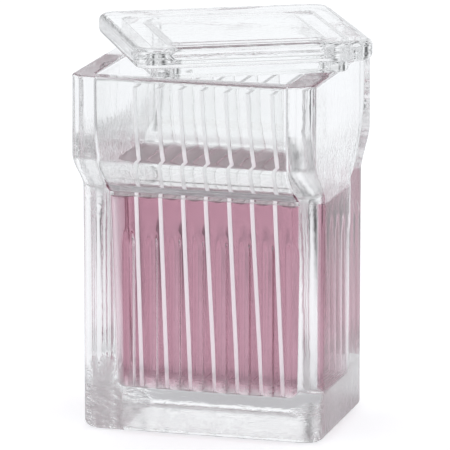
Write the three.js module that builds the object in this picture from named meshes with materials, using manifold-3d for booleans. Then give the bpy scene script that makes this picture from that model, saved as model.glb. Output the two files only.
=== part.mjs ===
// Slide staining jar: a pressed glass jar with a wide collar, its loose lid lying askew on the rim,
// seven microscope slides standing in moulded grooves, and the stain they stand in.
// Millimetres, +Z up. The origin is the centre of the underside, the front faces -Y.

import * as THREE from "three";
import { ParametricGeometry } from "three/addons/geometries/ParametricGeometry.js";
import { mergeVertices } from "three/addons/utils/BufferGeometryUtils.js";
import Module from "manifold-3d";

const wasm = await Module();
wasm.setup();

// Jar, outside
const WIDTH = 61.9;
const BODY_DEPTH = 44.4;
const COLLAR_DEPTH = 63;
const RIM_HEIGHT = 91.5;
const SHOULDER_START = 61;
const SHOULDER_END = 71.5;
const BODY_CORNER = 5;
const COLLAR_CORNER = 5.5;
const BASE_ROUNDING = 1.8;
const RIM_ROUNDING = 1;

// Jar, inside. The side walls run straight from the floor to the rim's foot, and only the front and back
// widen into the collar. The left wall thickens towards the floor, the right one hardly does.
const FLOOR_HEIGHT = 9.9;
const FLOOR_FILLET = 2;
const CAVITY_DEPTH = 28.4;
const CAVITY_CORNER = 2.5;
const LEFT_WALL_FLOOR = -23;
const LEFT_WALL_TOP = -25;
const RIGHT_WALL_FLOOR = 23.5;
const RIGHT_WALL_TOP = 24.2;
const COLLAR_WALL = 4.8;
const COLLAR_INNER_CORNER = 1;
const MOUTH_ROUNDING = 0.6;
const INNER_SHOULDER_START = 60.6;
const INNER_SHOULDER_END = 82;
const INNER_SHOULDER_SWEEP = THREE.MathUtils.degToRad(60);

// Grooves: the gaps between ribs moulded on the front and back walls. A rib's flank rises from RIB_ROOT
// to RIB_TIP, both counted from the middle of the groove beside it, and its top slopes off over RIB_END.
const GROOVE_COUNT = 8;
const GROOVE_PITCH = 6;
const FIRST_GROOVE = -22.5;
const RIB_DEPTH = 2.2;
const RIB_ROOT = 1.3;
const RIB_TIP = 2.6;
const RIB_TOP = 51;
const RIB_END = 5;

// Slides
const SLIDE_THICKNESS = 1.05;
const SLIDE_WIDTH = 26;
const SLIDE_LENGTH = 76;
const SLIDE_FEET = [-16.5, -9.9, -3.8, 2.5, 8.4, 14.6, 20];
const SLIDE_TOPS = [-18.6, -12.6, -6.9, -1.3, 4.8, 10.4, 16.6];

// Stain
const STAIN_LEVEL = 58.4;

// Lid
const LID_WIDTH = 59.6;
const LID_DEPTH = 54.6;
const LID_THICKNESS = 5.2;
const LID_CORNER = 5;
const LID_ROUNDING = 1.6;
const RIDGE_INSET = 5.1;
const RIDGE_HEIGHT = 3.4;
const RIDGE_WIDTH = 5.3;
const RIDGE_CORNER = 3.5;
const RIDGE_ROUNDING = 0.8;
const LID_HOLLOW_CORNER = 2.5;
const LID_CEILING = 4.2;
const LID_CENTRE_X = 3.2;
const LID_CENTRE_Y = -1.5;
const LID_TURN = THREE.MathUtils.degToRad(27.8);

// Pieces that rest on each other stay this far apart
const GAP = 0.3;

const CORNER_STEPS = 6;
const ARC_STEPS = 4;
const SHOULDER_STEPS = 10;
const FLANK_STEPS = 6;
const HIDDEN = 2;
const SUNK = 0.02;

// A level of a solid: a rectangle with rounded corners at one height.
function level(height, left, right, depth, corner) {
  return { height, left, right, depth, corner };
}

// A level that has shrunk to a point on the axis and closes the solid.
function pole(height) {
  return level(height, 0, 0, 0, 0);
}

function centredLevel(height, width, depth, corner) {
  return level(height, -width / 2, width / 2, depth, corner);
}

// The point of a level at step of its outline, counted anticlockwise from the right-hand side.
function outlinePoint(section, step, target) {
  const corner = Math.floor(step / (CORNER_STEPS + 1)) % 4;
  const angle = (Math.PI / 2) * (corner + (step % (CORNER_STEPS + 1)) / CORNER_STEPS);
  const onRight = corner === 0 || corner === 3;
  const atBack = corner < 2;
  const middleX = onRight ? section.right - section.corner : section.left + section.corner;
  const middleY = (atBack ? 1 : -1) * (section.depth / 2 - section.corner);
  target.set(
    middleX + section.corner * Math.cos(angle),
    middleY + section.corner * Math.sin(angle),
    section.height,
  );
}

// The closed surface through a list of levels, the first and last of which shrink to a point. place puts
// the point of a level at one of the steps around it.
function surfaceThrough(levels, around, place) {
  const stacks = levels.length - 1;
  return new ParametricGeometry(
    (u, v, target) => {
      place(levels[Math.round(v * stacks)], Math.round(u * around) % around, target);
    },
    around,
    stacks,
  );
}

function solidThrough(levels) {
  return surfaceThrough(levels, 4 * (CORNER_STEPS + 1), outlinePoint);
}

// Levels of a quarter round between two sizes. turn runs from 0 to a quarter of a circle, in radians.
function quarterRound(count, make) {
  const made = [];
  for (let i = 0; i <= count; i++) made.push(make((Math.PI / 2) * (i / count)));
  return made;
}

function toManifold(geometry) {
  const bare = geometry.clone();
  bare.deleteAttribute("normal");
  bare.deleteAttribute("uv");
  const merged = mergeVertices(bare, 1e-4);
  const index = merged.index.array;
  const kept = [];
  for (let i = 0; i < index.length; i += 3) {
    const [a, b, c] = [index[i], index[i + 1], index[i + 2]];
    if (a !== b && b !== c && c !== a) kept.push(a, b, c);
  }
  return new wasm.Manifold(
    new wasm.Mesh({
      numProp: 3,
      vertProperties: merged.attributes.position.array,
      triVerts: new Uint32Array(kept),
    }),
  );
}

function toGeometry(solid) {
  const mesh = solid.getMesh();
  const positions = new Float32Array(mesh.numVert * 3);
  for (let i = 0; i < mesh.numVert; i++) {
    const at = i * mesh.numProp;
    positions.set(mesh.vertProperties.subarray(at, at + 3), i * 3);
  }
  const geometry = new THREE.BufferGeometry();
  geometry.setAttribute("position", new THREE.BufferAttribute(positions, 3));
  geometry.setIndex(new THREE.BufferAttribute(mesh.triVerts, 1));
  geometry.computeVertexNormals();
  return geometry;
}

// The cavity's side walls at a height, pulled in by inset.
function cavityLevel(height, inset, corner) {
  const along = (height - FLOOR_HEIGHT) / (INNER_SHOULDER_START - FLOOR_HEIGHT);
  return level(
    height,
    THREE.MathUtils.lerp(LEFT_WALL_FLOOR, LEFT_WALL_TOP, along) + inset,
    THREE.MathUtils.lerp(RIGHT_WALL_FLOOR, RIGHT_WALL_TOP, along) - inset,
    CAVITY_DEPTH - 2 * inset,
    corner,
  );
}

// Outside of the jar from the middle of the underside to the outer edge of the rim.
function outsideLevels() {
  const base = quarterRound(ARC_STEPS, (turn) => {
    const inset = BASE_ROUNDING * (1 - Math.sin(turn));
    const height = BASE_ROUNDING * (1 - Math.cos(turn));
    return centredLevel(height, WIDTH - 2 * inset, BODY_DEPTH - 2 * inset, BODY_CORNER - inset);
  });
  const shoulder = [];
  for (let i = 0; i <= SHOULDER_STEPS; i++) {
    const along = i / SHOULDER_STEPS;
    const swell = THREE.MathUtils.smoothstep(along, 0, 1);
    shoulder.push(
      centredLevel(
        THREE.MathUtils.lerp(SHOULDER_START, SHOULDER_END, along),
        WIDTH,
        THREE.MathUtils.lerp(BODY_DEPTH, COLLAR_DEPTH, swell),
        THREE.MathUtils.lerp(BODY_CORNER, COLLAR_CORNER, swell),
      ),
    );
  }
  const rim = quarterRound(ARC_STEPS, (turn) => {
    const inset = RIM_ROUNDING * (1 - Math.cos(turn));
    const height = RIM_HEIGHT - RIM_ROUNDING * (1 - Math.sin(turn));
    return centredLevel(height, WIDTH - 2 * inset, COLLAR_DEPTH - 2 * inset, COLLAR_CORNER - inset);
  });
  return [pole(0), ...base, ...shoulder, ...rim];
}

// Inside of the jar from the inner edge of the rim to the middle of the floor. The shoulder is a long
// arc that leaves the collar upright and meets the body's wall at an angle.
function insideLevels() {
  const mouthDepth = COLLAR_DEPTH - 2 * COLLAR_WALL;
  const rim = quarterRound(ARC_STEPS, (turn) => {
    const spread = MOUTH_ROUNDING * (1 - Math.sin(turn));
    return level(
      RIM_HEIGHT - MOUTH_ROUNDING * (1 - Math.cos(turn)),
      LEFT_WALL_TOP - spread,
      RIGHT_WALL_TOP + spread,
      mouthDepth + 2 * spread,
      COLLAR_INNER_CORNER + spread,
    );
  });
  const shoulder = [];
  for (let i = 0; i <= SHOULDER_STEPS; i++) {
    const turn = INNER_SHOULDER_SWEEP * (i / SHOULDER_STEPS);
    const along = Math.sin(turn) / Math.sin(INNER_SHOULDER_SWEEP);
    const narrowing = (1 - Math.cos(turn)) / (1 - Math.cos(INNER_SHOULDER_SWEEP));
    shoulder.push(
      level(
        THREE.MathUtils.lerp(INNER_SHOULDER_END, INNER_SHOULDER_START, along),
        LEFT_WALL_TOP,
        RIGHT_WALL_TOP,
        THREE.MathUtils.lerp(mouthDepth, CAVITY_DEPTH, narrowing),
        THREE.MathUtils.lerp(COLLAR_INNER_CORNER, CAVITY_CORNER, narrowing),
      ),
    );
  }
  const floor = quarterRound(ARC_STEPS, (turn) => {
    const inset = FLOOR_FILLET * (1 - Math.cos(turn));
    const height = FLOOR_HEIGHT + FLOOR_FILLET * (1 - Math.sin(turn));
    return cavityLevel(height, inset, CAVITY_CORNER - inset);
  });
  return [...rim, ...shoulder, ...floor, pole(FLOOR_HEIGHT)];
}

// Ribs stand between the grooves, and half ribs fill in between the end grooves and the side walls.
// A span runs from the foot of a rib's left flank to the foot of its right one.
function ribSpans() {
  const spans = [];
  for (let i = 0; i <= GROOVE_COUNT; i++) {
    const groove = FIRST_GROOVE + i * GROOVE_PITCH;
    spans.push([groove - GROOVE_PITCH + RIB_ROOT, groove - RIB_ROOT]);
  }
  const flank = RIB_TIP - RIB_ROOT;
  spans[0][0] = LEFT_WALL_TOP - HIDDEN - flank;
  spans[GROOVE_COUNT][1] = RIGHT_WALL_TOP + HIDDEN + flank;
  return spans;
}

// One rib on the front wall (side -1) or the back wall (side 1), made larger all round by grow. Its
// levels give only the height and how far the rib has risen there, and its root lies inside the wall.
function rib([left, right], side, grow) {
  const flank = RIB_TIP - RIB_ROOT;
  const wall = CAVITY_DEPTH / 2 + SUNK;
  const profile = [];
  for (let i = 0; i <= FLANK_STEPS; i++) {
    const rise = THREE.MathUtils.smoothstep(i / FLANK_STEPS, 0, 1);
    profile.push([left - grow + flank * (i / FLANK_STEPS), rise]);
  }
  for (let i = FLANK_STEPS; i >= 0; i--) {
    const rise = THREE.MathUtils.smoothstep(i / FLANK_STEPS, 0, 1);
    profile.push([right + grow - flank * (i / FLANK_STEPS), rise]);
  }
  const middle = (left + right) / 2;
  const point = (height) => ({ height, risen: 0, closed: true });
  const foot = FLOOR_HEIGHT - HIDDEN;
  const levels = [point(foot), { height: foot, risen: 1, closed: false }];
  for (let i = 0; i <= FLANK_STEPS; i++) {
    const along = i / FLANK_STEPS;
    const height = RIB_TOP + grow - RIB_END * (1 - along);
    levels.push({ height, risen: THREE.MathUtils.smoothstep(1 - along, 0, 1), closed: false });
  }
  levels.push(point(RIB_TOP + grow));
  const around = profile.length + 2;
  const geometry = surfaceThrough(levels, around, (section, step, target) => {
    const onProfile = step < profile.length;
    const x = onProfile ? profile[step][0] : step === profile.length ? right + grow : left - grow;
    const depth = onProfile ? grow + RIB_DEPTH * profile[step][1] * section.risen : -HIDDEN;
    if (section.closed) target.set(middle, wall - grow + HIDDEN / 2, section.height);
    else target.set(x, wall - depth, section.height);
  });
  if (side < 0) geometry.rotateZ(Math.PI);
  return geometry;
}

// Both rows of ribs. Turning a rib half round swaps left and right, so the front row's spans are mirrored.
function addRibs(solid, grow, join) {
  for (const [left, right] of ribSpans()) {
    solid = join(solid, toManifold(rib([left, right], 1, grow)));
    solid = join(solid, toManifold(rib([-right, -left], -1, grow)));
  }
  return solid;
}

function jarGeometry() {
  const shell = toManifold(solidThrough([...outsideLevels(), ...insideLevels()]));
  return toGeometry(addRibs(shell, 0, (solid, piece) => solid.add(piece)));
}

function slideGeometry(clearance) {
  return new THREE.BoxGeometry(
    SLIDE_THICKNESS + 2 * clearance,
    SLIDE_WIDTH + 2 * clearance,
    SLIDE_LENGTH + 2 * clearance,
  );
}

// Stands a slide on the floor, leaning so that its foot and its top are where they should be.
function standSlide(object, number) {
  const lean = Math.asin((SLIDE_TOPS[number] - SLIDE_FEET[number]) / SLIDE_LENGTH);
  const lift = (SLIDE_THICKNESS / 2) * Math.abs(Math.sin(lean));
  object.rotation.y = lean;
  object.position.set(
    (SLIDE_FEET[number] + SLIDE_TOPS[number]) / 2,
    0,
    FLOOR_HEIGHT + GAP + lift + (SLIDE_LENGTH / 2) * Math.cos(lean),
  );
  return object;
}

// The stain fills the cavity to its level, grooves included, and leaves room for the slides.
function stainGeometry() {
  const levels = [pole(FLOOR_HEIGHT + GAP)];
  const corner = CAVITY_CORNER - GAP;
  quarterRound(ARC_STEPS, (turn) => {
    const inset = FLOOR_FILLET * (1 - Math.sin(turn));
    const height = FLOOR_HEIGHT + GAP + FLOOR_FILLET * (1 - Math.cos(turn));
    levels.push(cavityLevel(height, GAP + inset, Math.max(corner - inset, GAP)));
  });
  levels.push(cavityLevel(STAIN_LEVEL, GAP, corner));
  levels.push(pole(STAIN_LEVEL));
  const pool = toManifold(solidThrough(levels));
  let solid = addRibs(pool, GAP, (whole, piece) => whole.subtract(piece));
  for (let number = 0; number < SLIDE_FEET.length; number++) {
    const slot = standSlide(new THREE.Object3D(), number);
    slot.updateMatrix();
    solid = solid.subtract(toManifold(slideGeometry(GAP).applyMatrix4(slot.matrix)));
  }
  return toGeometry(solid);
}

// The lid from the middle of its top, round the plate's edge and the ridge, to the ceiling of its hollow.
// Heights are counted from the underside of the ridge. Its levels run from top to underside, so the list
// is turned round to make the surface face outwards.
function lidGeometry() {
  const top = RIDGE_HEIGHT + LID_THICKNESS;
  const ridgeWidth = LID_WIDTH - 2 * RIDGE_INSET;
  const ridgeDepth = LID_DEPTH - 2 * RIDGE_INSET;
  const hollowWidth = ridgeWidth - 2 * RIDGE_WIDTH;
  const hollowDepth = ridgeDepth - 2 * RIDGE_WIDTH;
  const plate = (height, inset) =>
    centredLevel(height, LID_WIDTH - 2 * inset, LID_DEPTH - 2 * inset, LID_CORNER - inset);
  const ridge = (height, inset) =>
    centredLevel(height, ridgeWidth - 2 * inset, ridgeDepth - 2 * inset, RIDGE_CORNER - inset);
  const hollow = (height, spread) =>
    centredLevel(height, hollowWidth + 2 * spread, hollowDepth + 2 * spread, LID_HOLLOW_CORNER + spread);
  const levels = [
    pole(top),
    ...quarterRound(ARC_STEPS, (turn) =>
      plate(top - LID_ROUNDING * (1 - Math.cos(turn)), LID_ROUNDING * (1 - Math.sin(turn))),
    ),
    ...quarterRound(ARC_STEPS, (turn) =>
      plate(RIDGE_HEIGHT + LID_ROUNDING * (1 - Math.sin(turn)), LID_ROUNDING * (1 - Math.cos(turn))),
    ),
    ridge(RIDGE_HEIGHT, 0),
    ...quarterRound(ARC_STEPS, (turn) =>
      ridge(RIDGE_ROUNDING * (1 - Math.sin(turn)), RIDGE_ROUNDING * (1 - Math.cos(turn))),
    ),
    ...quarterRound(ARC_STEPS, (turn) =>
      hollow(RIDGE_ROUNDING * (1 - Math.cos(turn)), RIDGE_ROUNDING * (1 - Math.sin(turn))),
    ),
    hollow(top - LID_CEILING, 0),
    pole(top - LID_CEILING),
  ];
  return toGeometry(toManifold(solidThrough(levels.reverse())));
}

function glass(colour) {
  return new THREE.MeshStandardMaterial({
    color: colour,
    roughness: 0.05,
    metalness: 0,
    transparent: true,
    opacity: 0.35,
  });
}

function named(name, geometry, material) {
  const mesh = new THREE.Mesh(geometry, material);
  mesh.name = name;
  return mesh;
}

const root = new THREE.Group();
root.add(named("jar", jarGeometry(), glass(0xdfe8e6)));

for (let number = 0; number < SLIDE_FEET.length; number++) {
  const slide = named("slide_" + (number + 1), slideGeometry(0), glass(0xeef1ee));
  root.add(standSlide(slide, number));
}

const stainMaterial = new THREE.MeshStandardMaterial({
  color: 0xc08aa0,
  roughness: 0.02,
  metalness: 0,
  transparent: true,
  opacity: 0.7,
});
root.add(named("stain", stainGeometry(), stainMaterial));

const lidPlace = new THREE.Group();
lidPlace.position.set(LID_CENTRE_X, LID_CENTRE_Y, RIM_HEIGHT + GAP);
lidPlace.rotation.z = LID_TURN;
lidPlace.add(named("lid", lidGeometry(), glass(0xe2eae9)));
root.add(lidPlace);

export default root;
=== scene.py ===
import math

import bpy
import numpy as np
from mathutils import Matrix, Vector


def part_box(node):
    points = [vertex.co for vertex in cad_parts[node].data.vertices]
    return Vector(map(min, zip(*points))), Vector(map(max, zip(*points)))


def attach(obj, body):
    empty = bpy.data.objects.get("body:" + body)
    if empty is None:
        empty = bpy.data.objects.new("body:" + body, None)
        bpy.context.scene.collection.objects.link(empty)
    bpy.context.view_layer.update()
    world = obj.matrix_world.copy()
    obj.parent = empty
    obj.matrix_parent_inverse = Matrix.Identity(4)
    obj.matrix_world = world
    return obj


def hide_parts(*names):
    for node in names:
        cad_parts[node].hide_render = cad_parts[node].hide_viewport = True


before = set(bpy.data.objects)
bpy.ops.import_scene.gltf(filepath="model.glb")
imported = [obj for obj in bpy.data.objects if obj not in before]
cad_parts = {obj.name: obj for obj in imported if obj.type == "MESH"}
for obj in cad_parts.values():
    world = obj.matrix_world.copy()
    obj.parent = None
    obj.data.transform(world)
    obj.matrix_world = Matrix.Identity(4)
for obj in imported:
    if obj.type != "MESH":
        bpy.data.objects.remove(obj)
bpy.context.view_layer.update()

# ---------------------------------------------------------------- Jar
# One piece of clear soda-lime glass, pressed in an iron mould and fire-polished at the rim. The plunger
# formed the cavity, the ribs between the slide grooves and the shoulder under the wide collar.

jar_high = np.array(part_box("jar")[1]) * 1000
JAR_HALF_WIDTH = jar_high[0]
COLLAR_HALF_DEPTH = jar_high[1]
JAR_HEIGHT = jar_high[2]
BODY_HALF_DEPTH = 22.2
SHOULDER_OUTSIDE = (61.0, 71.5)
SHOULDER_INSIDE = (60.6, 82.0)
BODY_CORNER = 5.0
COLLAR_CORNER = 5.5
BASE_ROUNDING = 1.8
RIM_ROUNDING = 1.0
MOUTH_ROUNDING = 0.6
COLLAR_WALL = 4.8
COLLAR_INNER_CORNER = 1.0
FLOOR_HEIGHT = 9.9
FLOOR_FILLET = 2.0
CAVITY_HALF_DEPTH = 14.2
CAVITY_CORNER = 2.5
LEFT_WALL = (-23.0, -25.0)
RIGHT_WALL = (23.5, 24.2)
GROOVES = -22.5 + 6.0 * np.arange(8)
RIB_DEPTH = 2.2
RIB_ROOT = 1.3
RIB_TIP = 2.6
RIB_TOP = 51.0
RIB_END = 5.0
WALL_SPAN = 21.0
STAIN_LEVEL = 58.0
WET_LINE = 59.0
FUNNEL_ANGLE = 60
FUNNEL_ROUNDING = 0.003
QUARTER_TURN = np.linspace(0, np.pi / 2, 13)
CORNER_TURN = np.linspace(0, np.pi / 2, 11)
CORNER_SIDE = np.arange(6) / 6


def smooth(along):
    """0 below 0, 1 above 1, and three along squared less two along cubed between."""
    along = np.clip(along, 0, 1)
    return along * along * (3 - 2 * along)


def mix(low, high, along):
    """The point that lies the fraction along of the way from low to high."""
    return low + (high - low) * along


def rib_depth(x):
    """How far the ribs stand out of the wall at each x, in mm: none in a groove, full depth halfway
    between two grooves and beyond the last ones, and a smooth step between."""
    away = np.min(np.abs(x[..., None] - GROOVES), axis=-1)
    return RIB_DEPTH * smooth((away - RIB_ROOT) / (RIB_TIP - RIB_ROOT))


def wall_stations():
    """The x of each mesh line along the broad walls: close together where a rib turns."""
    away = np.concatenate([[0], np.linspace(RIB_ROOT - 0.1, RIB_TIP + 0.1, 11)])
    both = np.concatenate([GROOVES[:, None] + away, GROOVES[:, None] - away])
    both = np.unique(np.round(both.ravel(), 4))
    inner = both[np.abs(both) < WALL_SPAN - 0.05]
    return np.concatenate([[-WALL_SPAN], inner, [WALL_SPAN]])


STATIONS = wall_stations()


def ring_points(left, right, half_depth, corner, stations=STATIONS, side=CORNER_SIDE):
    """Rounded rectangles, one a row. Each starts at the middle of its right side and runs anticlockwise:
    up the right side, round a quarter circle, along the back at the fixed stations, and so on round."""
    sizes = (left, right, half_depth, corner)
    left, right, half_depth, corner = (np.atleast_1d(a).astype(float)[:, None] for a in sizes)
    corner = np.minimum(corner, np.minimum(right, -left) - WALL_SPAN - 0.05)
    corner = np.maximum(corner, 0.02)
    turn = CORNER_TURN[None]
    side = side[None]

    def quarter(half_width):
        round_x = half_width - corner + corner * np.cos(turn)
        round_y = half_depth - corner + corner * np.sin(turn)
        x = np.concatenate([half_width + 0 * side, round_x], axis=1)
        y = np.concatenate([(half_depth - corner) * side, round_y], axis=1)
        return x, y

    xr, yr = quarter(right)
    xl, yl = quarter(-left)
    across = np.broadcast_to(stations[None], (len(left), len(stations)))
    back = np.broadcast_to(half_depth, across.shape)
    x = np.concatenate([xr, across[:, ::-1], -xl[:, ::-1], -xl[:, 1:], across, xr[:, :0:-1]], axis=1)
    y = np.concatenate([yr, back, yl[:, ::-1], -yl[:, 1:], -back, -yr[:, :0:-1]], axis=1)
    return x, y


def cavity_sides(z):
    """The side walls' x at a height: each leans a little, straight from the floor to the shoulder."""
    along = (z - FLOOR_HEIGHT) / (SHOULDER_INSIDE[0] - FLOOR_HEIGHT)
    return mix(LEFT_WALL[0], LEFT_WALL[1], along), mix(RIGHT_WALL[0], RIGHT_WALL[1], along)


def press_ribs(x, y, z, grow=0.0):
    """The cavity wall with its ribs: no point of the wall lies further out than the rib there."""
    limit = CAVITY_HALF_DEPTH - rib_depth(x) * smooth((RIB_TOP - z) / RIB_END) + grow
    return np.sign(y) * np.minimum(np.abs(y), limit)


def outside_rings():
    """Sections of the outside from the base to the rim: z, half width, half depth, corner radius.
    Quarter rounds at the foot and rim, upright walls, and a smooth step for the shoulder."""
    turn = QUARTER_TURN
    low, high = SHOULDER_OUTSIDE
    inset = BASE_ROUNDING * (1 - np.sin(turn))
    foot_z = BASE_ROUNDING * (1 - np.cos(turn))
    base = [foot_z, JAR_HALF_WIDTH - inset, BODY_HALF_DEPTH - inset, BODY_CORNER - inset]
    body_z = np.linspace(2.3, low - 0.4, 12)
    shoulder_z = np.linspace(low, high, 40)
    collar_z = np.linspace(high + 0.4, JAR_HEIGHT - RIM_ROUNDING - 0.5, 14)
    z = np.concatenate([body_z, shoulder_z, collar_z])
    swell = smooth((z - low) / (high - low))
    half_depth = mix(BODY_HALF_DEPTH, COLLAR_HALF_DEPTH, swell)
    wall = [z, JAR_HALF_WIDTH + 0 * z, half_depth, mix(BODY_CORNER, COLLAR_CORNER, swell)]
    inset = RIM_ROUNDING * (1 - np.cos(turn))
    rim_z = JAR_HEIGHT - RIM_ROUNDING * (1 - np.sin(turn))
    rim = [rim_z, JAR_HALF_WIDTH - inset, COLLAR_HALF_DEPTH - inset, COLLAR_CORNER - inset]
    return [np.concatenate(parts) for parts in zip(base, wall, rim)]


def funnel(z):
    """How far the inner shoulder has closed in at a height, 0 to 1: a circular arc that leaves the collar
    upright at its top, meets the body's wall at 60 degrees, and is rounded where they meet."""
    reach = SHOULDER_INSIDE[1] - SHOULDER_INSIDE[0]
    radius = reach / math.sin(math.radians(FUNNEL_ANGLE))
    fall = np.clip((SHOULDER_INSIDE[1] - z) / radius, 0, 1)
    closed = (1 - np.sqrt(1 - fall ** 2)) / 0.5
    return 0.5 * (closed + 1 - np.sqrt((closed - 1) ** 2 + FUNNEL_ROUNDING))


def inside_rings():
    """Sections of the inside from the rim to the floor: z, left, right, half depth, corner radius."""
    turn = QUARTER_TURN
    low, high = SHOULDER_INSIDE
    spread = MOUTH_ROUNDING * (1 - np.sin(turn))
    mouth = COLLAR_HALF_DEPTH - COLLAR_WALL
    rim_z = JAR_HEIGHT - MOUTH_ROUNDING * (1 - np.cos(turn))
    mouth_sides = (LEFT_WALL[1] - spread, RIGHT_WALL[1] + spread)
    rim = [rim_z, *mouth_sides, mouth + spread, COLLAR_INNER_CORNER + spread]
    z = np.concatenate([
        np.linspace(JAR_HEIGHT - RIM_ROUNDING - 0.5, high + 0.4, 14),
        np.linspace(high, low + 1.6, 40)[:-1],
        np.linspace(low + 1.6, WET_LINE, 12)[:-1],
        np.linspace(WET_LINE, low - 1.6, 8),
        np.linspace(low - 2.2, RIB_TOP + 0.2, 8),
        np.linspace(RIB_TOP, RIB_TOP - RIB_END, 13),
        np.linspace(RIB_TOP - RIB_END - 0.5, FLOOR_HEIGHT + FLOOR_FILLET + 0.4, 12),
    ])
    narrow = funnel(z)
    left, right = cavity_sides(np.minimum(z, low))
    corner = mix(COLLAR_INNER_CORNER, CAVITY_CORNER, narrow)
    wall = [z, left, right, mix(mouth, CAVITY_HALF_DEPTH, narrow), corner]
    inset = FLOOR_FILLET * (1 - np.cos(turn))
    z = FLOOR_HEIGHT + FLOOR_FILLET * (1 - np.sin(turn))
    left, right = cavity_sides(z)
    floor = [z, left + inset, right - inset, CAVITY_HALF_DEPTH - inset, CAVITY_CORNER - inset]
    return [np.concatenate(parts) for parts in zip(rim, wall, floor)]


def surface_piece(name, x, y, z):
    """A closed mesh from a grid of points in mm: each row is a ring that closes on itself, and the first
    and last rings are closed by a fan to their middle."""
    rows, columns = x.shape
    points = np.stack([x, y, np.broadcast_to(z, x.shape)], axis=-1).reshape(-1, 3)
    index = np.arange(rows * columns).reshape(rows, columns)
    following = np.roll(index, -1, axis=1)
    quads = np.stack([index[:-1], following[:-1], following[1:], index[1:]], axis=-1).reshape(-1, 4)
    ends = np.stack([points[index[0]].mean(axis=0), points[index[-1]].mean(axis=0)])
    points = np.concatenate([points, ends])
    start, end = rows * columns, rows * columns + 1
    first = np.stack([np.full(columns, start), following[0], index[0]], axis=-1)
    last = np.stack([np.full(columns, end), index[-1], following[-1]], axis=-1)
    mesh = bpy.data.meshes.new(name)
    faces = quads.tolist() + first.tolist() + last.tolist()
    mesh.from_pydata((points / 1000).tolist(), [], faces)
    mesh.validate()
    mesh.shade_smooth()
    piece = bpy.data.objects.new(name, mesh)
    bpy.context.scene.collection.objects.link(piece)
    return piece


def weighted_normals(piece):
    """Each corner's normal is the mean of its faces' normals, weighted by area, so flat walls stay flat
    beside their narrow rounds."""
    mesh = piece.data
    count = len(mesh.polygons)
    normals = np.empty(count * 3, dtype=np.float32)
    area = np.empty(count, dtype=np.float32)
    mesh.polygons.foreach_get("normal", normals)
    mesh.polygons.foreach_get("area", area)
    loops = np.empty(len(mesh.loops), dtype=np.int32)
    mesh.loops.foreach_get("vertex_index", loops)
    totals = np.empty(count, dtype=np.int32)
    mesh.polygons.foreach_get("loop_total", totals)
    face_of_loop = np.repeat(np.arange(count), totals)
    weight = (normals.reshape(-1, 3) * area[:, None])[face_of_loop]
    summed = np.zeros((len(mesh.vertices), 3))
    np.add.at(summed, loops, weight)
    length = np.linalg.norm(summed, axis=1, keepdims=True)
    mesh.normals_split_custom_set_from_vertices((summed / np.maximum(length, 1e-12)).tolist())


oz, ow, od, oc = outside_rings()
iz, il, ir, idp, ic = inside_rings()
jar_z = np.concatenate([oz, iz])[:, None]
jar_sections = [np.concatenate(pair) for pair in ((-ow, il), (ow, ir), (od, idp), (oc, ic))]
jar_x, jar_y = ring_points(*jar_sections)
first_inner_row = len(oz) + len(QUARTER_TURN)
is_inside = np.arange(len(jar_z)) >= first_inner_row
jar_y = np.where(is_inside[:, None] & (jar_z < RIB_TOP + 0.1), press_ribs(jar_x, jar_y, jar_z), jar_y)
jar = surface_piece("jar_glass", jar_x, jar_y, jar_z)
weighted_normals(jar)

# Zones where the glass set first and crinkled, in metres: height, reach up and down, the x where it sets
# in, the x where it is full, and depth.
CHILLED = (
    (0.000, 0.007, -0.040, -0.035, 0.00022),
    (0.002, 0.011, -0.0195, -0.0220, 0.00110),
    (0.003, 0.010, 0.022, 0.027, 0.00020),
    (0.066, 0.014, -0.0235, -0.0265, 0.00015),
    (0.066, 0.012, 0.0235, 0.0270, 0.00008),
)
# Noise for the glass: scale, detail and distortion.
COARSE_NOISE = (70, 2, 0)
FINE_NOISE = (420, 2, 0)
CHILL_NOISE = (520, 4, 1.5)
CHILL_STRETCH = (0.4, 1, 1)


def link_math(tree, operation, first, second=0):
    """A math node on two sockets or numbers, and its output."""
    node = tree.nodes.new("ShaderNodeMath")
    node.operation = operation
    for socket, value in zip(node.inputs, (first, second)):
        if isinstance(value, (int, float)):
            socket.default_value = value
        else:
            tree.links.new(value, socket)
    return node.outputs[0]


def fade(tree, value, begins, full):
    """A smooth step of a socket: 0 at begins, 1 at full."""
    node = tree.nodes.new("ShaderNodeMapRange")
    node.interpolation_type = "SMOOTHSTEP"
    node.inputs["From Min"].default_value, node.inputs["From Max"].default_value = begins, full
    tree.links.new(value, node.inputs["Value"])
    return node.outputs["Result"]


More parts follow.
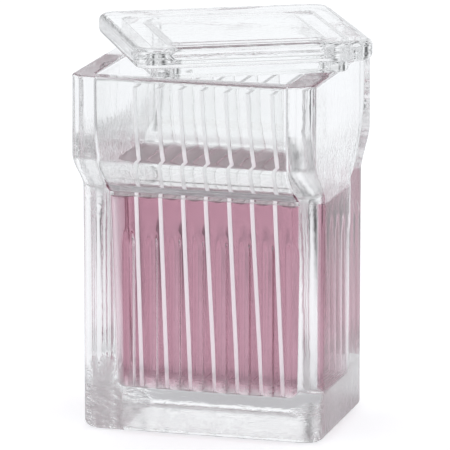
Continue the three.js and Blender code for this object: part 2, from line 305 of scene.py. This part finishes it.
def glass_material(name, ior, colour, ripple, roughness=0.01, chilled=()):
    """Clear glass: all light goes through, bent by the index of refraction. Two sizes of noise ripple
    its surface as the mould did, the finer one to a fifth of the coarser one's depth in metres. In the
    chilled zones a third noise, drawn out along x, crinkles it."""
    material = bpy.data.materials.new(name)
    material.use_nodes = True
    tree = material.node_tree
    nodes, links = tree.nodes, tree.links
    shader = nodes["Principled BSDF"]
    shader.inputs["Base Color"].default_value = (*colour, 1)
    shader.inputs["Roughness"].default_value = roughness
    shader.inputs["IOR"].default_value = ior
    shader.inputs["Transmission Weight"].default_value = 1
    place = nodes.new("ShaderNodeTexCoord").outputs["Object"]
    parts = nodes.new("ShaderNodeSeparateXYZ")
    links.new(place, parts.inputs[0])
    bumps = [(*COARSE_NOISE, ripple), (*FINE_NOISE, ripple / 5)]
    if chilled:
        bumps.append((*CHILL_NOISE, 1))
    below = None
    for scale, detail, distortion, depth in bumps:
        noise = nodes.new("ShaderNodeTexNoise")
        noise.inputs["Scale"].default_value = scale
        noise.inputs["Detail"].default_value = detail
        noise.inputs["Distortion"].default_value = distortion
        links.new(place, noise.inputs["Vector"])
        bump = nodes.new("ShaderNodeBump")
        bump.inputs["Distance"].default_value = depth
        links.new(noise.outputs["Fac"], bump.inputs["Height"])
        if below:
            links.new(below, bump.inputs["Normal"])
        below = bump.outputs["Normal"]
    links.new(below, shader.inputs["Normal"])
    if chilled:
        stretch = nodes.new("ShaderNodeVectorMath")
        stretch.operation = "MULTIPLY"
        stretch.inputs[1].default_value = CHILL_STRETCH
        links.new(place, stretch.inputs[0])
        links.new(stretch.outputs[0], noise.inputs["Vector"])
    crinkle = 0
    for height, reach, begins, full, depth in chilled:
        away = link_math(tree, "ABSOLUTE", link_math(tree, "SUBTRACT", parts.outputs["Z"], height))
        zone = link_math(tree, "MULTIPLY", fade(tree, away, reach, reach / 2), depth)
        zone = link_math(tree, "MULTIPLY", zone, fade(tree, parts.outputs["X"], begins, full))
        crinkle = link_math(tree, "ADD", zone, crinkle)
    if chilled:
        links.new(link_math(tree, "MULTIPLY", noise.outputs["Fac"], crinkle), bump.inputs["Height"])
    return material


GLASS_IOR = 1.52
STAIN_IOR = 1.34
CLEAR = (1, 1, 1)
JAR_TINT = (0.995, 0.998, 0.997)
PRESSED_RIPPLE = 0.00006
POLISHED = 0.01
jar_dry = glass_material("pressed_glass", GLASS_IOR, JAR_TINT, PRESSED_RIPPLE, POLISHED, CHILLED)
jar_wet = glass_material("pressed_glass_wet", GLASS_IOR / STAIN_IOR, CLEAR, PRESSED_RIPPLE)
jar.data.materials.append(jar_dry)
jar.data.materials.append(jar_wet)
face_index = np.arange(len(jar.data.polygons))
centres = np.empty(len(face_index) * 3, dtype=np.float32)
jar.data.polygons.foreach_get("center", centres)
face_row = face_index // jar_x.shape[1]
inner_wall = (face_row >= first_inner_row) & (face_row < jar_x.shape[0] - 1)
wet = inner_wall & (centres.reshape(-1, 3)[:, 2] < WET_LINE / 1000)
last_fan = face_index >= jar_x.shape[0] * jar_x.shape[1]
jar.data.polygons.foreach_set("material_index", (wet | last_fan).astype(np.int32))
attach(jar, "root")
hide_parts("jar")

# ---------------------------------------------------------------- Slides
# Seven microscope slides of clear float glass, 76 x 26 x 1 mm, with ground edges. The stain wets the
# edges and clears them. Each slide stands loosely in its groove and leans to the left.

SLIDE_SIZE = (1.05, 26.0, 76.0)
SLIDE_FEET = (-16.5, -9.9, -3.8, 2.5, 8.4, 14.6, 20)
SLIDE_TOPS = (-18.6, -12.6, -6.9, -1.3, 4.8, 10.4, 16.6)
SLIDE_CHAMFER = 0.12
SLIDE_CLEARANCE = 0.3
SLIDE_TINT = (0.95, 0.955, 0.95)
EDGE_TINT = (0.93, 0.93, 0.93)
SLIDE_RIPPLE = 0.00001
WET_EDGE_RIPPLE = 0.00002
GROUND = 0.3
TOP_END_SLOT = 4
END_GRAIN = 3000
END_GREY = (0.92, 0.92, 0.92, 1)
END_WHITE = (1, 1, 1, 1)
END_ROUGHNESS = 0.6
END_IOR = 1.2
slide_dry = glass_material("float_glass", GLASS_IOR, SLIDE_TINT, SLIDE_RIPPLE)
slide_wet = glass_material("float_glass_wet", GLASS_IOR / STAIN_IOR, CLEAR, SLIDE_RIPPLE)
edge_dry = glass_material("fine_ground_edge", GLASS_IOR, EDGE_TINT, SLIDE_RIPPLE, GROUND)
edge_wet = glass_material("fine_ground_edge_wet", GLASS_IOR / STAIN_IOR, CLEAR, WET_EDGE_RIPPLE, GROUND)
slide_end = bpy.data.materials.new("ground_end")
slide_end.use_nodes = True
tree = slide_end.node_tree
grain = tree.nodes.new("ShaderNodeTexNoise")
grain.inputs["Scale"].default_value = END_GRAIN
tree.links.new(tree.nodes.new("ShaderNodeTexCoord").outputs["Object"], grain.inputs["Vector"])
whites = tree.nodes.new("ShaderNodeValToRGB")
whites.color_ramp.elements[0].color = END_GREY
whites.color_ramp.elements[1].color = END_WHITE
tree.links.new(grain.outputs["Fac"], whites.inputs["Fac"])
tree.links.new(whites.outputs["Color"], tree.nodes["Principled BSDF"].inputs["Base Color"])
tree.nodes["Principled BSDF"].inputs["Roughness"].default_value = END_ROUGHNESS
tree.nodes["Principled BSDF"].inputs["IOR"].default_value = END_IOR

slide_axes = []
for number, (foot, head) in enumerate(zip(SLIDE_FEET, SLIDE_TOPS)):
    lean = math.asin((head - foot) / SLIDE_SIZE[2])
    lift = SLIDE_SIZE[0] / 2 * abs(math.sin(lean))
    middle_height = FLOOR_HEIGHT + SLIDE_CLEARANCE + lift + SLIDE_SIZE[2] / 2 * math.cos(lean)
    middle = np.array([(foot + head) / 2, 0, middle_height])
    slide_axes.append((middle, lean))
    hx, hy, hz = (np.array(SLIDE_SIZE) / 2)
    cut = (WET_LINE - middle[2]) / math.cos(lean)
    rz = np.array([-hz, -hz + SLIDE_CHAMFER, cut, hz - SLIDE_CHAMFER, hz])
    rin = np.array([SLIDE_CHAMFER, 0, 0, 0, SLIDE_CHAMFER])
    sx, sy = hx - rin[:, None], hy - rin[:, None]
    tx, ty = sx - SLIDE_CHAMFER, sy - SLIDE_CHAMFER
    cx = np.concatenate([sx, sx, tx, -tx, -sx, -sx, -tx, tx], axis=1)
    cy = np.concatenate([-ty, ty, sy, sy, ty, -ty, -sy, -sy], axis=1)
    cz = np.broadcast_to(rz[:, None], cx.shape)
    c, s = math.cos(lean), math.sin(lean)
    px = middle[0] + cx * c + cz * s
    pz = middle[2] - cx * s + cz * c
    slide = surface_piece(f"slide_glass_{number + 1}", px, cy, pz)
    slide.data.shade_flat()
    for material in (slide_dry, slide_wet, edge_dry, edge_wet, slide_end):
        slide.data.materials.append(material)
    count = len(slide.data.polygons)
    facing = np.empty(count * 3, dtype=np.float32)
    centre = np.empty(count * 3, dtype=np.float32)
    slide.data.polygons.foreach_get("normal", facing)
    slide.data.polygons.foreach_get("center", centre)
    ground = np.abs(facing.reshape(-1, 3)[:, 0]) <= 0.9
    top_end = facing.reshape(-1, 3)[:, 2] > 0.5
    immersed = centre.reshape(-1, 3)[:, 2] < WET_LINE / 1000
    slots = np.where(top_end, TOP_END_SLOT, 2 * ground + immersed)
    slide.data.polygons.foreach_set("material_index", slots.astype(np.int32))
    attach(slide, "root")
    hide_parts(f"slide_{number + 1}")

# ---------------------------------------------------------------- Stain
# A dusky pink stain that fills the cavity to just under the shoulder. It creeps up the glass it touches.
# Inside it is cut out where the slides stand.

STAIN_LAP = 0.08
STAIN_RISE = 1.0
CREEP_REACH = 1.1
CORNER_CLIMB = 0.3
POCKET = 0.03
POCKET_FLOOR = 0.45
STAIN_COLOUR = (0.61, 0.22, 0.37, 1)
STAIN_DENSITY = 64
STAIN_FILM = 0.3
STAIN_RIPPLE = 0.00004


def slide_line(number, z):
    """The x of a slide's middle at a height: it leans in a straight line."""
    middle, lean = slide_axes[number]
    return middle[0] + (z - middle[2]) * math.tan(lean)


def stain_rings():
    """Sections of the liquid from the floor up to where it meets the wall, a hair inside the glass."""
    turn = QUARTER_TURN
    inset = FLOOR_FILLET * (1 - np.sin(turn))
    z = FLOOR_HEIGHT + FLOOR_FILLET * (1 - np.cos(turn))
    left, right = cavity_sides(z)
    sides = (left + inset, right - inset)
    floor = [z - STAIN_LAP, *sides, CAVITY_HALF_DEPTH - inset, CAVITY_CORNER - inset]
    z = np.concatenate([
        np.linspace(FLOOR_HEIGHT + FLOOR_FILLET + 0.4, RIB_TOP - RIB_END - 0.5, 12),
        np.linspace(RIB_TOP - RIB_END, RIB_TOP, 13),
        np.linspace(RIB_TOP + 0.2, STAIN_LEVEL + STAIN_RISE, 8),
    ])
    left, right = cavity_sides(z)
    wall = [z, left, right, CAVITY_HALF_DEPTH + 0 * z, CAVITY_CORNER + 0 * z]
    return [np.concatenate(parts) for parts in zip(floor, wall)]


def creep(away):
    """How far the liquid climbs, 0 to 1, at a distance in mm from the glass: it dies away exponentially."""
    return np.exp(-away / CREEP_REACH)


slide_x = np.array([slide_line(n, STAIN_LEVEL + STAIN_RISE) for n in range(len(SLIDE_FEET))])
half = SLIDE_SIZE[0] / 2
near = half + np.array([-POCKET - 0.02, -0.01, 0.15, 0.35, 0.65, 1.1, 1.7])
beside = np.concatenate([slide_x[:, None] + near, slide_x[:, None] - near]).ravel()
stain_stations = np.concatenate([STATIONS, beside])
stain_stations = np.unique(np.round(stain_stations[np.abs(stain_stations) <= WALL_SPAN], 4))
inside_slide = (np.abs(stain_stations[:, None] - slide_x) < half - POCKET - 0.021).any(axis=1)
stain_stations = stain_stations[~inside_slide]
stain_side = np.array([
    0, 0.15, 0.3, 0.45, 0.6, 0.7, 0.77, 0.82, 0.86, 0.89, 0.905, 0.9085, 0.92, 0.935, 0.95, 0.965, 0.98, 0.99,
])

sz, sl, sr, sd, sc = stain_rings()
stain_sections = (sl - STAIN_LAP, sr + STAIN_LAP, sd + STAIN_LAP, sc + STAIN_LAP)
stain_x, stain_y = ring_points(*stain_sections, stain_stations, stain_side)
ribbed = press_ribs(stain_x, stain_y, sz[:, None], STAIN_LAP)
stain_y = np.where(sz[:, None] < RIB_TOP + 0.1, ribbed, stain_y)

# The liquid's surface: columns from the left wall to the right one, each run from front to back.
steps = len(stain_side)
columns = 2 * len(CORNER_TURN) + len(stain_stations)
edge_x, edge_y = stain_x[-1], stain_y[-1]
back_row = np.arange(steps, steps + columns)[::-1]
column_x, column_y = edge_x[back_row], edge_y[back_row]
across = np.concatenate([-stain_side[:0:-1], stain_side])
across = np.concatenate([[-1], across, [1]])
top_x = np.repeat(column_x[None], len(across), axis=0)
top_y = across[:, None] * column_y[None]
in_slide = np.abs(top_x[..., None] - slide_x) < half - POCKET + 0.005
dx = np.maximum(np.abs(top_x[..., None] - slide_x) - half, 0)
dy = np.maximum(np.abs(top_y) - SLIDE_SIZE[1] / 2, 0)[..., None]
from_slide = np.hypot(dx, dy).min(axis=-1)
from_side = np.minimum(top_x - column_x[0], column_x[-1] - top_x)
from_wall = np.minimum(column_y[None] - np.abs(top_y), from_side)
near_slide, near_wall = creep(from_slide), creep(np.maximum(from_wall, 0))
climb = near_slide + near_wall - (1 - CORNER_CLIMB) * near_slide * near_wall
top_z = STAIN_LEVEL + STAIN_RISE * climb
pocket = in_slide.any(axis=-1) & (np.abs(top_y) < SLIDE_SIZE[1] / 2 - POCKET)
lowest = FLOOR_HEIGHT + POCKET_FLOOR
which = in_slide.argmax(axis=-1)
leans = np.array([lean for middle, lean in slide_axes])
shift = (lowest - (STAIN_LEVEL + STAIN_RISE)) * np.tan(leans)[which]
top_x = np.where(pocket, top_x + shift, top_x)
top_z = np.where(pocket, lowest, top_z)

rows, count = stain_x.shape
body_z = np.broadcast_to(sz[:-1, None], (rows - 1, count))
body_points = np.stack([stain_x[:-1], stain_y[:-1], body_z], axis=-1).reshape(-1, 3)
top_points = np.stack([top_x, top_y, top_z], axis=-1).reshape(-1, 3)
floor_middle = body_points[:count].mean(axis=0)[None]
top_index = len(body_points) + np.arange(top_x.size).reshape(top_x.shape)
middle_row = len(across) // 2
rim = np.concatenate([
    top_index[middle_row:, -1], top_index[-1, -2::-1], top_index[-2::-1, 0],
    top_index[0, 1:], top_index[1:middle_row, -1],
])
body_index = np.arange(len(body_points)).reshape(rows - 1, count)
body_index = np.concatenate([body_index, rim[None]])
following = np.roll(body_index, -1, axis=1)
body_quads = np.stack([body_index[:-1], following[:-1], following[1:], body_index[1:]], axis=-1)
body_quads = body_quads.reshape(-1, 4)
fan_middle = np.full(count, len(body_points) + top_x.size)
floor_fan = np.stack([fan_middle, following[0], body_index[0]], axis=-1)
top_corners = [top_index[:-1, :-1], top_index[:-1, 1:], top_index[1:, 1:], top_index[1:, :-1]]
top_quads = np.stack(top_corners, axis=-1).reshape(-1, 4)
stain_points = np.concatenate([body_points, top_points, floor_middle]) / 1000
stain_faces = body_quads.tolist() + top_quads.tolist() + floor_fan.tolist()
stain_mesh = bpy.data.meshes.new("stain_liquid")
stain_mesh.from_pydata(stain_points.tolist(), [], stain_faces)
stain_mesh.validate()
stain_mesh.shade_smooth()
stain = bpy.data.objects.new("stain_liquid", stain_mesh)
bpy.context.scene.collection.objects.link(stain)

stain_dye = glass_material("stain_dye", STAIN_IOR, CLEAR, STAIN_RIPPLE)
nodes, links = stain_dye.node_tree.nodes, stain_dye.node_tree.links
absorb = nodes.new("ShaderNodeVolumeAbsorption")
absorb.inputs["Color"].default_value = STAIN_COLOUR
absorb.inputs["Density"].default_value = STAIN_DENSITY
links.new(absorb.outputs["Volume"], nodes["Material Output"].inputs["Volume"])

# Each face holds its own index of refraction: the stain's on its free surface, and 1 where it laps into
# the glass, whose own surface bends the light there. A film on the free surface scatters some of it.
bend = nodes.new("ShaderNodeAttribute")
bend.attribute_name = "bend"
links.new(bend.outputs["Fac"], nodes["Principled BSDF"].inputs["IOR"])
stain.data.materials.append(stain_dye)
free = ~(pocket[:-1, :-1] | pocket[1:, :-1] | pocket[:-1, 1:] | pocket[1:, 1:]).ravel()
bending = np.concatenate([np.ones(len(body_quads)), np.where(free, STAIN_IOR, 1.0), np.ones(count)])
stain_mesh.attributes.new("bend", "FLOAT", "FACE").data.foreach_set("value", bending.astype(np.float32))
film = nodes.new("ShaderNodeMapRange")
film.inputs["From Min"].default_value, film.inputs["From Max"].default_value = 1.0, STAIN_IOR
film.inputs["To Min"].default_value, film.inputs["To Max"].default_value = 1.0, 1 - STAIN_FILM
links.new(bend.outputs["Fac"], film.inputs["Value"])
links.new(film.outputs["Result"], nodes["Principled BSDF"].inputs["Transmission Weight"])
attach(stain, "root")
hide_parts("stain")

# ---------------------------------------------------------------- Lid
# A plate of pressed glass with rounded edges. The hollow ridge under it keeps it from sliding off the
# mouth when it lies square. Here it lies askew.

LID_WIDTH = 59.6
LID_DEPTH = 54.6
LID_THICKNESS = 5.2
LID_CORNER = 5.0
LID_ROUNDING = 1.6
RIDGE_INSET = 5.1
RIDGE_HEIGHT = 3.4
RIDGE_WIDTH = 5.3
RIDGE_CORNER = 3.5
RIDGE_ROUNDING = 0.8
LID_HOLLOW_CORNER = 2.5
LID_CEILING = 4.2
LID_TURN = math.radians(27.8)
LID_PLACE = (3.2, -1.5, 91.8)
LID_TINT = (0.985, 0.993, 0.99)


def lid_rings():
    """Sections of the lid from its top, round the plate's edge and the ridge, to the hollow's ceiling:
    z, half width, half depth, corner radius. Every edge is a quarter round."""
    top = RIDGE_HEIGHT + LID_THICKNESS
    one_less_cos, one_less_sin = 1 - np.cos(CORNER_TURN), 1 - np.sin(CORNER_TURN)
    ridge_w, ridge_d = LID_WIDTH / 2 - RIDGE_INSET, LID_DEPTH / 2 - RIDGE_INSET

    def band(z, half_width, half_depth, corner, inset):
        return [z + 0 * inset, half_width - inset, half_depth - inset, corner - inset]

    plate = LID_WIDTH / 2, LID_DEPTH / 2, LID_CORNER
    ridge = ridge_w, ridge_d, RIDGE_CORNER
    hollow = ridge_w - RIDGE_WIDTH, ridge_d - RIDGE_WIDTH, LID_HOLLOW_CORNER
    edge_z = np.array([top - LID_ROUNDING - 0.2, RIDGE_HEIGHT + LID_ROUNDING + 0.2])
    ridge_z = np.array([RIDGE_HEIGHT - 0.5, RIDGE_ROUNDING + 0.2])
    hollow_z = np.array([RIDGE_ROUNDING + 0.3, top - LID_CEILING - 1.2])
    bands = [
        band(top - LID_ROUNDING * one_less_cos, *plate, LID_ROUNDING * one_less_sin),
        band(edge_z, *plate, np.zeros(2)),
        band(RIDGE_HEIGHT + LID_ROUNDING * one_less_sin, *plate, LID_ROUNDING * one_less_cos),
        band(RIDGE_HEIGHT, *ridge, -0.5 * one_less_sin[::2]),
        band(ridge_z, *ridge, np.zeros(2)),
        band(RIDGE_ROUNDING * one_less_sin, *ridge, RIDGE_ROUNDING * one_less_cos),
        band(RIDGE_ROUNDING * one_less_cos, *hollow, -RIDGE_ROUNDING * one_less_sin),
        band(hollow_z, *hollow, np.zeros(2)),
        band(top - LID_CEILING - one_less_sin, *hollow, one_less_cos),
    ]
    return [np.concatenate(parts) for parts in zip(*bands)]


def rounded_rectangle(half_width, half_depth, corner):
    """Rounded rectangles, one a row, anticlockwise from the right: four quarter circles joined by
    straight sides."""
    sizes = (half_width, half_depth, np.maximum(corner, 0.02))
    half_width, half_depth, corner = (a[:, None] for a in sizes)
    turn = CORNER_TURN[None]
    qx = half_width - corner + corner * np.cos(turn)
    qy = half_depth - corner + corner * np.sin(turn)
    x = np.concatenate([qx, -qx[:, ::-1], -qx, qx[:, ::-1]], axis=1)
    y = np.concatenate([qy, qy[:, ::-1], -qy, -qy[:, ::-1]], axis=1)
    return x, y


lz, lw, ld, lc = (a[::-1] for a in lid_rings())
lid_x, lid_y = rounded_rectangle(lw, ld, lc)
turned_x = LID_PLACE[0] + lid_x * math.cos(LID_TURN) - lid_y * math.sin(LID_TURN)
turned_y = LID_PLACE[1] + lid_x * math.sin(LID_TURN) + lid_y * math.cos(LID_TURN)
lid = surface_piece("lid_glass", turned_x, turned_y, LID_PLACE[2] + lz[:, None])
weighted_normals(lid)
lid.data.materials.append(glass_material("lid_pressed_glass", GLASS_IOR, LID_TINT, PRESSED_RIPPLE))
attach(lid, "root")
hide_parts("lid")

# ---------------------------------------------------------------- Bench and light
# A white bench in a white room, where nothing that the glass sees is brighter than 1, which is white.
# Clear glass shows only what is round it, so eight narrow dark screens, two soft side shades, a bench
# painted darker close by, a painted shadow of the jar, and a slightly grey ceiling draw its edges. The
# camera does not see them directly.

SCREEN_FOOT = 200
SCREEN_HEAD = 130
SCREEN_DISTANCE = (0.1, 0.2)
# Directions in degrees from behind the jar (+Y) towards +X, each with its darkness, and for a shade the
# power that sets how wide it is. A higher power is narrower.
SCREENS = (
    (-157.5, 0.6), (-112.5, 0.8), (-67.5, 0.9), (-33, 0.9),
    (33, 0.9), (67.5, 0.9), (112.5, 0.8), (157.5, 0.6),
)
SHADES = ((74, 0.4, 7), (-106, 0.4, 7))
DARKEST = 0.9
DAYLIGHT = 0.9
SEEN_FLOOR = 0.4
BENCH_SIZE = 6
BENCH_DROP = 0.0002
BENCH_COLOUR = (0.80, 0.815, 0.84)
FLOOR_DEPTH = 0.62
FLOOR_REACH = 0.4
# Painted light and shadow: as the glass sees it the bench glows, least within 40 mm of the jar, a painted
# shadow of the jar.
FLOOR_GLOW_AND_SHADOW = ((0.1, 0.14), (0.14, 0.4), (0.2, 0.5), (0.28, 0.53))
SKY_GLOW = ((0.0, 1.0), (0.85, 1.0), (0.94, 0.75), (0.98, 0.65))


def screens(tree, place, narrowness):
    """How much darker a direction is for the screens and soft shades in it, 0 to 1: round each one's
    middle its darkness times a power of the cosine of the angle from it."""
    parts = tree.nodes.new("ShaderNodeSeparateXYZ")
    tree.links.new(place, parts.inputs[0])
    angle = link_math(tree, "ARCTAN2", parts.outputs[0], parts.outputs[1])
    total = 0
    for middle, darkness, power in [(*screen, narrowness) for screen in SCREENS] + list(SHADES):
        away = link_math(tree, "SUBTRACT", angle, math.radians(middle))
        facing = link_math(tree, "MAXIMUM", link_math(tree, "COSINE", away, 0), 0)
        dark = link_math(tree, "MULTIPLY", link_math(tree, "POWER", facing, power), darkness)
        total = link_math(tree, "ADD", dark, total)
    return link_math(tree, "MINIMUM", total, DARKEST)


def glow_ramp(tree, value, stops):
    """A faintly blue grey ramp of a socket from 0 to 1, with the given stops of place and level. The
    level is the strongest channel's, so a level of 1 is never passed."""
    node = tree.nodes.new("ShaderNodeValToRGB")
    node.color_ramp.interpolation = "EASE"
    elements = node.color_ramp.elements
    elements[0].position, elements[1].position = stops[0][0], stops[-1][0]
    for place, level in stops[1:-1]:
        elements.new(place)
    for element, (place, level) in zip(elements, stops):
        element.color = (level * 0.97, level * 0.98, level, 1)
    tree.links.new(value, node.inputs["Fac"])
    return node.outputs["Color"]


def through_glass(tree):
    """1 for light that reaches the eye through or off the glass, 0 for light seen directly and for
    light that falls on other surfaces."""
    path = tree.nodes.new("ShaderNodeLightPath")
    return link_math(tree, "MAXIMUM", path.outputs["Is Glossy Ray"], path.outputs["Is Transmission Ray"])


def seen_directly(tree):
    """1 for what the camera sees with nothing between."""
    return tree.nodes.new("ShaderNodeLightPath").outputs["Is Camera Ray"]


bpy.ops.mesh.primitive_plane_add(size=BENCH_SIZE, location=(0, 0, -BENCH_DROP))
bench = bpy.context.object
bench.name = "bench"
bench_paint = bpy.data.materials.new("bench_paint")
bench_paint.use_nodes = True
tree = bench_paint.node_tree
paint = tree.nodes["Principled BSDF"]
paint.inputs["Roughness"].default_value = 0.8
paint.inputs["Specular IOR Level"].default_value = 0
place = tree.nodes.new("ShaderNodeTexCoord").outputs["Object"]
distance_node = tree.nodes.new("ShaderNodeVectorMath")
distance_node.operation = "LENGTH"
tree.links.new(place, distance_node.inputs[0])
far = tree.nodes.new("ShaderNodeMapRange")
far.inputs["From Min"].default_value, far.inputs["From Max"].default_value = SCREEN_DISTANCE
tree.links.new(distance_node.outputs["Value"], far.inputs["Value"])
hidden = link_math(tree, "MULTIPLY", far.outputs["Result"], screens(tree, place, SCREEN_FOOT))
screen = link_math(tree, "SUBTRACT", 1, hidden)
glass_only = through_glass(tree)
# Painted shade: the glass sees the bench's colour dimmed to FLOOR_DEPTH of itself, and darker still under the
# screens.
lit = link_math(tree, "MULTIPLY", screen, FLOOR_DEPTH)
darkened = link_math(tree, "MULTIPLY", glass_only, link_math(tree, "SUBTRACT", 1, lit))
shade = link_math(tree, "SUBTRACT", 1, darkened)
colour = tree.nodes.new("ShaderNodeVectorMath")
colour.operation = "SCALE"
colour.inputs[0].default_value = BENCH_COLOUR
tree.links.new(shade, colour.inputs["Scale"])
tree.links.new(colour.outputs[0], paint.inputs["Base Color"])
reach = link_math(tree, "DIVIDE", distance_node.outputs["Value"], FLOOR_REACH)
glow = tree.nodes.new("ShaderNodeVectorMath")
glow.operation = "MULTIPLY_ADD"
tree.links.new(glow_ramp(tree, reach, FLOOR_GLOW_AND_SHADOW), glow.inputs[0])
tree.links.new(link_math(tree, "MULTIPLY", glass_only, screen), glow.inputs[1])
tree.links.new(link_math(tree, "MULTIPLY", seen_directly(tree), SEEN_FLOOR), glow.inputs[2])
tree.links.new(glow.outputs[0], paint.inputs["Emission Color"])
paint.inputs["Emission Strength"].default_value = 1.0
bench.data.materials.append(bench_paint)

world = bpy.data.worlds.new("studio")
bpy.context.scene.world = world
world.use_nodes = True
tree = world.node_tree
direction = tree.nodes.new("ShaderNodeTexCoord").outputs["Generated"]
height = tree.nodes.new("ShaderNodeSeparateXYZ")
tree.links.new(direction, height.inputs[0])
screened = tree.nodes.new("ShaderNodeVectorMath")
screened.operation = "SCALE"
tree.links.new(glow_ramp(tree, height.outputs["Z"], SKY_GLOW), screened.inputs[0])
clear = link_math(tree, "SUBTRACT", 1, screens(tree, direction, SCREEN_HEAD))
tree.links.new(clear, screened.inputs["Scale"])
sky = tree.nodes.new("ShaderNodeMix")
sky.data_type = "RGBA"
tree.links.new(through_glass(tree), sky.inputs[0])
backdrop = link_math(tree, "MULTIPLY", seen_directly(tree), 1 - DAYLIGHT)
tree.links.new(link_math(tree, "ADD", backdrop, DAYLIGHT), sky.inputs[6])
tree.links.new(screened.outputs[0], sky.inputs[7])
tree.links.new(sky.outputs[2], tree.nodes["Background"].inputs["Color"])
tree.nodes["Background"].inputs["Strength"].default_value = 1.0

CAMERA_TARGET = (0.00044, 0.0, 0.04921)
CAMERA_AZIMUTH = math.radians(15.96)
CAMERA_ELEVATION = math.radians(12.70)
CAMERA_DISTANCE = 1.22617
CAMERA_LENS = 391.66

camera_data = bpy.data.cameras.new("camera")
camera = bpy.data.objects.new("camera", camera_data)
bpy.context.scene.collection.objects.link(camera)
camera.location = (
    CAMERA_TARGET[0] + CAMERA_DISTANCE * math.sin(CAMERA_AZIMUTH) * math.cos(CAMERA_ELEVATION),
    CAMERA_TARGET[1] - CAMERA_DISTANCE * math.cos(CAMERA_AZIMUTH) * math.cos(CAMERA_ELEVATION),
    CAMERA_TARGET[2] + CAMERA_DISTANCE * math.sin(CAMERA_ELEVATION),
)
camera.rotation_euler = (math.pi / 2 - CAMERA_ELEVATION, 0, CAMERA_AZIMUTH)
camera_data.sensor_width = 36
camera_data.lens = CAMERA_LENS
camera_data.clip_end = 20
bpy.context.scene.camera = camera
bpy.context.scene.view_settings.view_transform = "Standard"
cycles = bpy.context.scene.cycles
cycles.max_bounces = 96
cycles.transmission_bounces = 96
cycles.glossy_bounces = 48
cycles.diffuse_bounces = 12
cycles.transparent_max_bounces = 48
cycles.blur_glossy = 0
